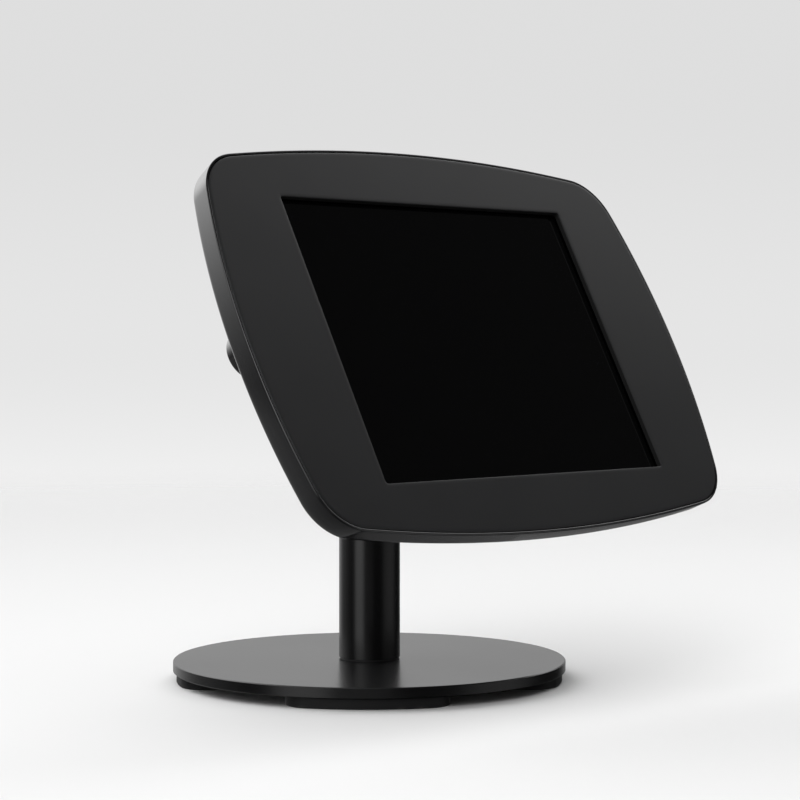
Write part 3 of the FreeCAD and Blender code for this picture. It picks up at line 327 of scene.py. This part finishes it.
seal_rubber = Finish("seal_rubber", Base_Color=(0.009, 0.009, 0.009, 1), Specular_IOR_Level=0.35)
seal_bloom = seal_rubber.noise(260, 4.0)
seal_rubber.wire("Roughness", 0.42 + seal_bloom * 0.25)
seal_rubber.bump(seal_bloom, 0.00002, 0.4)
seal_rubber.dress("friction_ring", "base_grommet", "neck_grommet")

# The column's stop is a black oxide grub screw in its back, set just under the surface.
black_oxide = Finish("black_oxide", Base_Color=(0.03, 0.03, 0.033, 1), Metallic=1.0)
oxide_patches = black_oxide.noise(420, 3.0)
black_oxide.wire("Roughness", 0.36 + oxide_patches * 0.2)
black_oxide.bump(oxide_patches, 0.00001, 0.4)
black_oxide.dress("stop_screw")

# The column ends square on its flange, and a run of weld joins them all round. The bead was laid
# in overlapping puddles and sprayed over with the rest.
LEAN = math.radians(61.83)
HEAD_REACH, HEAD_HEIGHT = 0.084, 0.192
COLUMN_RADIUS = 0.01715
FLANGE_BACK = -0.0188
BEAD_SIZE = 0.0021
BEAD_PUDDLES = 38
BEAD_PROUD, BEAD_SUNK = 0.0004, 0.0003


def in_head(across, up, out):
    """The enclosure's own frame, turned back by its lean and lifted to its place: across is the
    width, up runs up the face and out comes straight off it, from the faceplate's front."""
    across, up, out = np.broadcast_arrays(across, up, out)
    y = up * math.cos(LEAN) - out * math.sin(LEAN) - HEAD_REACH
    z = up * math.sin(LEAN) + out * math.cos(LEAN) + HEAD_HEIGHT
    return np.stack([across, y, z], axis=-1)


def surface(name, rows, body, round_rows=False, start=None, end=None):
    """Skin a grid of points: each row is a closed ring, and each ring is joined to the next by
    quads. round_rows joins the last ring to the first; start and end close the first and the last
    ring on one point each."""
    count, around = rows.shape[:2]
    points = rows.reshape(-1, 3)
    row = np.arange(count if round_rows else count - 1)[:, None]
    column = np.arange(around)[None, :]
    after = (row + 1) % count
    beside = (column + 1) % around
    quads = np.stack(
        [row * around + column, row * around + beside, after * around + beside, after * around + column],
        axis=-1,
    ).reshape(-1, 4)
    faces = quads.tolist()
    ring = np.arange(around)
    if start is not None:
        faces += np.stack([np.roll(ring, -1), ring, np.full(around, len(points))], axis=-1).tolist()
        points = np.vstack([points, start])
    if end is not None:
        last = (count - 1) * around
        fan = [last + ring, last + np.roll(ring, -1), np.full(around, len(points))]
        faces += np.stack(fan, axis=-1).tolist()
        points = np.vstack([points, end])
    mesh = bpy.data.meshes.new(name)
    mesh.from_pydata(points.tolist(), [], faces)
    mesh.polygons.foreach_set("use_smooth", np.ones(len(faces), bool))
    mesh.update()
    piece = bpy.data.objects.new(name, mesh)
    scene.collection.objects.link(piece)
    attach(piece, body)
    return piece


def weld_bead(name):
    """A ring of round section about the column's end. Its section swells and its centre shifts
    with a sharpened sine of the angle, once for each puddle."""
    around = np.linspace(0, 2 * math.pi, BEAD_PUDDLES * 10, endpoint=False)[None, :]
    across = np.linspace(0, 2 * math.pi, 14, endpoint=False)[:, None]
    puddle = np.abs(np.sin(around * BEAD_PUDDLES / 2)) ** 0.6
    wander = 0.12 * np.sin(around * 5 + 1) + 0.08 * np.sin(around * 11)
    size = BEAD_SIZE * (0.80 + 0.16 * puddle + 0.1 * wander)
    radius = COLUMN_RADIUS + BEAD_PROUD + size * np.cos(across)
    out = FLANGE_BACK - BEAD_SUNK + size * np.sin(across)
    return surface(
        name, in_head(radius * np.cos(around), radius * np.sin(around), out), "head", round_rows=True
    )


satin_coat.dress(weld_bead("neck_weld"))

# The rear shell is one glossy black moulding: a tray with drafted walls, a rolled rear edge and a
# ledge inside its rim, where the faceplate shuts. A round boss on its back carries the lock.
HALF_WIDTH, HALF_HEIGHT = 0.1660, 0.1144
SIDE_RADIUS, TOP_RADIUS, CORNER_RADIUS = 0.3737, 0.9919, 0.0292
SHELL_DEPTH, SHELL_DRAFT = 0.0148, 0.0014
REAR_EDGE, RIM_EDGE, RIM_WIDTH = 0.003, 0.0007, 0.00135
WALL, LEDGE, FLOOR = 0.0036, -0.0034, -0.0118
CABLE_HOLE, HOLE_EASE, HOLE_MARGIN = 0.011, 0.0004, 0.004
LARGEST_OFFSET = 0.02
SIDE_STEPS, CORNER_STEPS, TOP_STEPS = 26, 26, 40
HALFWAY, NEAR_MIDDLE = 0.040, 0.080
MID_WALL, MID_WALL_EASE = -0.0085, 0.0005
SHARP, LIP, SOFT = 0.0002, 0.0004, 0.001
REAR_SPREAD, RIM_SPREAD = 1.15, 1.1
LOCK_REACH, BOSS_RADIUS, BOSS_HEIGHT = 0.147, 0.0138, 0.0072
BOSS_SKIRT, BOSS_ROOT, BOSS_SUNK = 0.0022, 0.0012, 0.0004
BOSS_SHOULDER, BOSS_TAPER, BOSS_TOP_BAND = 0.0002, 0.0002, 0.004
BOSS_ROOT_EASE, BOSS_SHOULDER_EASE, BOSS_RIM_EASE = 0.0006, 0.0008, 0.0013
# Below the faceplate's front edges the finish is matt and its colour is a painted shade, near black.
SHADED_MATT_BELOW, SATIN_ABOVE = -0.0009, -0.0004
PAINTED_SHADE_BLACK, MATT_ROUGHNESS = (0.0015, 0.0015, 0.0015), 0.85


def closed_quarters(across, up):
    """A quarter of an outline, from the right side's middle to the top's, mirrored twice."""
    half_across = np.concatenate([across, -across[-2::-1]])
    half_up = np.concatenate([up, up[-2::-1]])
    return (
        np.concatenate([half_across[:-1], -half_across[:-1]]),
        np.concatenate([half_up[:-1], -half_up[:-1]]),
    )


def head_outline(inset):
    """Shallow arcs on the sides, top and bottom, tangent to tight ones at the corners: each is a
    centre plus a radius times the cosine and sine of evenly spaced angles. The corner's centre is
    where circles about the two other centres, smaller by its radius, cross. A ring that lies
    farther in than the corners allow is shrunk towards the middle instead, so it never folds."""
    offset = min(inset, LARGEST_OFFSET)
    shrink = (HALF_HEIGHT - inset) / (HALF_HEIGHT - offset)
    side_centre = HALF_WIDTH - SIDE_RADIUS
    top_centre = HALF_HEIGHT - TOP_RADIUS
    near, far = SIDE_RADIUS - CORNER_RADIUS, TOP_RADIUS - CORNER_RADIUS
    gap = math.hypot(side_centre, top_centre)
    along = (near**2 - far**2 + gap**2) / (2 * gap)
    off = math.sqrt(near**2 - along**2)
    unit = np.array([-side_centre, top_centre]) / gap
    centre = np.array([side_centre, 0]) + unit * along + np.array([-unit[1], unit[0]]) * off
    first = math.atan2(centre[1], centre[0] - side_centre)
    second = math.atan2(centre[1] - top_centre, centre[0])
    arcs = (
        (side_centre, 0.0, SIDE_RADIUS, 0.0, first, SIDE_STEPS),
        (centre[0], centre[1], CORNER_RADIUS, first, second, CORNER_STEPS),
        (0.0, top_centre, TOP_RADIUS, second, math.pi / 2, TOP_STEPS),
    )
    across, up = [], []
    for x, y, radius, begin, finish, steps in arcs:
        angle = np.linspace(begin, finish, steps + 1)[0 if begin == 0.0 else 1:]
        across.append((x + (radius - offset) * np.cos(angle)) * shrink)
        up.append((y + (radius - offset) * np.sin(angle)) * shrink)
    return closed_quarters(np.concatenate(across), np.concatenate(up))


def eased(corners, steps=5):
    """A profile with every corner rounded: each (inset, out, radius) becomes an arc that touches
    both its neighbouring lines, drawn as a quadratic curve through the corner's own point."""
    places = np.array([corner[:2] for corner in corners])
    profile = [places[:1]]
    for before, at, after, corner in zip(places, places[1:], places[2:], corners[1:]):
        to_before = (before - at) / np.linalg.norm(before - at)
        to_after = (after - at) / np.linalg.norm(after - at)
        turn = np.linspace(0, 1, steps)[:, None]
        bend = corner[2] * ((1 - turn) ** 2 * to_before + turn**2 * to_after)
        profile.append(at + bend)
    profile.append(places[-1:])
    return np.concatenate(profile)


def outline_rows(profile, outline=head_outline):
    """One ring for each point of a profile of (inset from the outline, distance off the face)."""
    rings = [np.stack(outline(inset), axis=-1) for inset, _ in profile]
    flat = np.array(rings)
    return in_head(flat[..., 0], flat[..., 1], profile[:, 1][:, None])


def hole_rows(steps):
    """Circles about the cable hole, each (beyond its edge, distance off the face), with their
    points in the same directions as the outline's."""
    across, up = head_outline(LARGEST_OFFSET)
    reach = np.hypot(across, up)
    rings = []
    for beyond, out in steps:
        radius = CABLE_HOLE + beyond
        rings.append(in_head(across / reach * radius, up / reach * radius, out))
    return np.array(rings)


def rear_shell(name):
    """The tray's profile, from the cable hole in its back round the rim, along the floor inside
    and down through the hole again."""
    profile = eased([
        (NEAR_MIDDLE, -SHELL_DEPTH, 0),
        (HALFWAY, -SHELL_DEPTH, SOFT),
        (SHELL_DRAFT, -SHELL_DEPTH, REAR_EDGE * REAR_SPREAD),
        (SHELL_DRAFT * -MID_WALL / SHELL_DEPTH, MID_WALL, MID_WALL_EASE),
        (0.0, 0.0, RIM_EDGE * RIM_SPREAD),
        (RIM_WIDTH, 0.0, LIP),
        (RIM_WIDTH, LEDGE, SHARP),
        (WALL, LEDGE, SHARP),
        (WALL, FLOOR, SOFT),
        (HALFWAY, FLOOR, SOFT),
        (NEAR_MIDDLE, FLOOR, 0),
    ], 7)
    back_hole = (
        (0, -SHELL_DEPTH + HOLE_EASE), (HOLE_EASE, -SHELL_DEPTH), (HOLE_MARGIN, -SHELL_DEPTH)
    )
    floor_hole = ((HOLE_MARGIN, FLOOR), (HOLE_EASE, FLOOR), (0, FLOOR - HOLE_EASE))
    rows = np.concatenate([hole_rows(back_hole), outline_rows(profile), hole_rows(floor_hole)])
    return surface(name, rows[:, ::-1], "head", round_rows=True)


def turned_rows(profile, across, up, around=72):
    """Rings about a line square to the face: each profile point is (radius, distance off it)."""
    angle = np.linspace(0, 2 * math.pi, around, endpoint=False)[None, :]
    radius, out = profile[:, 0][:, None], profile[:, 1][:, None]
    return in_head(across + radius * np.cos(angle), up + radius * np.sin(angle), out)


def lock_boss(name):
    """A round boss with a fillet at its root and an eased rim, closed inside the shell's back."""
    base, end = -SHELL_DEPTH + BOSS_SUNK, -SHELL_DEPTH - BOSS_HEIGHT
    profile = eased([
        (BOSS_RADIUS + BOSS_SKIRT, base, 0),
        (BOSS_RADIUS + BOSS_ROOT, -SHELL_DEPTH, BOSS_ROOT_EASE),
        (BOSS_RADIUS, -SHELL_DEPTH - BOSS_SHOULDER, BOSS_SHOULDER_EASE),
        (BOSS_RADIUS - BOSS_TAPER, end, BOSS_RIM_EASE),
        (BOSS_RADIUS - BOSS_TOP_BAND, end, 0),
    ], 7)
    rows = turned_rows(profile, -LOCK_REACH, 0.0)
    start, finish = in_head(-LOCK_REACH, 0, base), in_head(-LOCK_REACH, 0, end)
    return surface(name, rows, "head", start=start, end=finish)


def black_moulding(name, roughness, coat, relief, depth, colour):
    """Moulded plastic: near black, with the faint ripple that it takes from the tool. Without a gloss coat
    it is the faceplate's, which is matt below the edges of its front, where painted shade makes it near
    black: in the window's walls and along the gap to the rim."""
    finish = Finish(name, Coat_Weight=coat, Coat_Roughness=0.05)
    ripple = finish.noise(relief, 3.0)
    smear = finish.noise(24, 4.0)
    shine = roughness + (smear - 0.5) * 0.08
    if coat:
        finish.wire("Base Color", finish.mix(smear, colour, [part * 1.15 for part in colour]))
        finish.wire("Roughness", shine)
    else:
        middle = (0, -HEAD_REACH, HEAD_HEIGHT)
        away = finish.node("ShaderNodeVectorMath", {"operation": "SUBTRACT"}, {0: finish.place, 1: middle})
        _, back, rise = finish.parts_of(away)
        # Painted shade: below the front's edges, in the window's walls and along the gap to the rim, the
        # colour turns near black.
        unshaded_front = (rise * math.cos(LEAN) - back * math.sin(LEAN)).step(SHADED_MATT_BELOW, SATIN_ABOVE)
        finish.wire("Base Color", finish.mix(unshaded_front, PAINTED_SHADE_BLACK, colour))
        finish.wire("Roughness", MATT_ROUGHNESS + (shine - MATT_ROUGHNESS) * unshaded_front)
    finish.bump(ripple, depth, 0.3)
    return finish


gloss_black = black_moulding("gloss_black", 0.12, 1.0, 180, 0.000006, (0.0045, 0.0045, 0.005))
shell = rear_shell("shell_moulding")
boss = lock_boss("shell_lock_boss")
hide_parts("rear_shell")
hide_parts("rear_shell")
gloss_black.dress(shell, boss)

# The lock is a brass barrel plated black, round a bright plug that the key turns. A brass nut
# holds it from inside.
lock_axis = tuple(in_head(-LOCK_REACH, 0.0, 0.0).tolist())
plating = Finish("black_plating", Base_Color=(0.035, 0.035, 0.038, 1), Metallic=1.0)
plating_haze = plating.noise(350, 3.0)
plating.wire("Roughness", 0.18 + plating_haze * 0.12)
plating.bump(plating_haze, 0.000006, 0.3)
plating.dress("lock_barrel")
chrome = Finish("lock_chrome", Base_Color=(0.62, 0.62, 0.64, 1), Metallic=1.0)
chrome_haze = chrome.noise(350, 3.0)
chrome.wire("Roughness", 0.10 + chrome_haze * 0.10)
chrome.bump(chrome_haze, 0.000006, 0.3)
chrome.dress("lock_plug")
turned_metal("lock_brass", (0.56, 0.42, 0.20), lock_axis, 0.0005, 0.26).dress("lock_nut")

# The tablet: a blasted and anodised aluminium tray, a sheet of black glass, and under it the
# display, two battery cells in foil and a circuit board.
alloy = Finish("blasted_alloy", Metallic=1.0)
blast = alloy.grains(6500)
alloy_clouds = alloy.noise(30, 3.0)
alloy.wire("Base Color", alloy.mix(alloy_clouds, (0.40, 0.405, 0.42), (0.44, 0.445, 0.46)))
alloy.wire("Roughness", 0.34 + blast * 0.12)
alloy.bump(blast, 0.000008, 0.5)
alloy.dress("tablet_housing", "power_button", "volume_up_button", "volume_down_button")

glass = Finish("cover_glass", Base_Color=(0.0004, 0.0004, 0.0005, 1))
smudge = glass.noise(28, 5.0).step(0.5, 0.8) * glass.noise(260, 3.0)
glass.wire("Roughness", 0.035 + smudge * 0.05)
glass.dress("tablet_glass")

display = Finish("display_panel", Base_Color=(0.002, 0.002, 0.0025, 1))
cells = display.grains(2400)
display.wire("Roughness", 0.20 + cells * 0.2)
display.bump(cells, 0.000005, 0.3)
display.dress("tablet_display")

foil = Finish("battery_foil", Metallic=0.6)
creases = foil.noise(70, 5.0)
foil.wire("Base Color", foil.mix(creases, (0.045, 0.045, 0.05), (0.10, 0.10, 0.11)))
foil.wire("Roughness", 0.30 + creases * 0.25)
foil.bump(creases, 0.0002, 0.5)
foil.dress("tablet_battery")

board = Finish("circuit_board")
squares = {"distance": "MANHATTAN", "feature": "F1"}
tracks = board.node("ShaderNodeTexVoronoi", squares, {"Vector": board.place, "Scale": 420.0})
copper = tracks.step(0.55, 0.62)
board.wire("Base Color", board.mix(copper, (0.010, 0.055, 0.028), (0.03, 0.13, 0.06)))
board.wire("Roughness", 0.32 + copper * 0.2)
board.bump(copper, 0.00003, 0.6)
board.dress("tablet_circuit_board")

# Dark grey corner holders keep the tablet in the middle of the tray, and black foam pads behind
# it press it forward against the gasket.
holder = Finish("holder_rubber", Base_Color=(0.030, 0.030, 0.032, 1), Specular_IOR_Level=0.35)
holder_grain = holder.grains(1800, "SMOOTH_F1")
holder.wire("Roughness", 0.5 + holder_grain * 0.2)
holder.bump(holder_grain, 0.00004, 0.5)
holder.dress("tablet_corner_holders")

foam = Finish("closed_cell_foam", Specular_IOR_Level=0.2)
bubbles = foam.grains(2100)
foam.wire("Base Color", foam.mix(bubbles, (0.008, 0.008, 0.008), (0.004, 0.004, 0.004)))
foam.wire("Roughness", 0.8 + bubbles * 0.15)
foam.bump(bubbles, 0.00015, 0.7)
foam.dress("window_gasket", "tablet_back_pads")

# The faceplate is a flat sheet with a satin face and a window for the screen. Two turned
# posts on its back press into sockets in the tray, and a catch under its left edge meets the cam.
FACE_INSET = RIM_WIDTH + 0.00045
FACE_THICKNESS = 0.0032
FACE_EDGE = 0.0006
WINDOW_HALF_WIDTH, WINDOW_HALF_HEIGHT = 0.10825, 0.08165
WINDOW_CORNER, WINDOW_EDGE = 0.0018, 0.00025
POST_REACH = 0.148
EDGE_BAND = 0.002


def window_outline(inset):
    """A rectangle with round corners: straight, a quarter circle, straight, with as many points
    in each as the enclosure's outline has in its own side, corner and top."""
    wide, high = WINDOW_HALF_WIDTH - inset, WINDOW_HALF_HEIGHT - inset
    corner = WINDOW_CORNER - inset
    angle = np.linspace(0, math.pi / 2, CORNER_STEPS + 1)
    rise = np.linspace(0, high - corner, SIDE_STEPS + 1)[:-1]
    run = np.linspace(wide - corner, 0, TOP_STEPS + 1)[1:]
    across = np.concatenate([
        np.full(SIDE_STEPS, wide), wide - corner + corner * np.cos(angle), run
    ])
    up = np.concatenate([
        rise, high - corner + corner * np.sin(angle), np.full(TOP_STEPS, high)
    ])
    return closed_quarters(across, up)


def faceplate(name):
    """A closed band: round the outer edge from the back to the front, across the front to the
    window, through the window to the back, and across the back again."""
    back = -FACE_THICKNESS
    outer = eased([
        (FACE_INSET + EDGE_BAND, back, 0), (FACE_INSET, back, SHARP),
        (FACE_INSET, 0.0, FACE_EDGE), (FACE_INSET + EDGE_BAND, 0.0, 0),
    ])
    window = eased([
        (-EDGE_BAND, 0.0, 0), (0.0, 0.0, WINDOW_EDGE), (0.0, back, SHARP), (-EDGE_BAND, back, 0),
    ])
    rows = np.concatenate([outline_rows(outer), outline_rows(window, window_outline)])
    return surface(name, rows, "door", round_rows=True)


satin_black = black_moulding("satin_black", 0.36, 0.0, 1400, 0.00001, (0.0105, 0.0105, 0.0112))
face = faceplate("face_sheet")
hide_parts("faceplate")
satin_black.dress(face)
turned_metal("post_steel", (0.50, 0.50, 0.51), (POST_REACH, 0, 0), 0.0004, 0.24).dress("faceplate_posts")
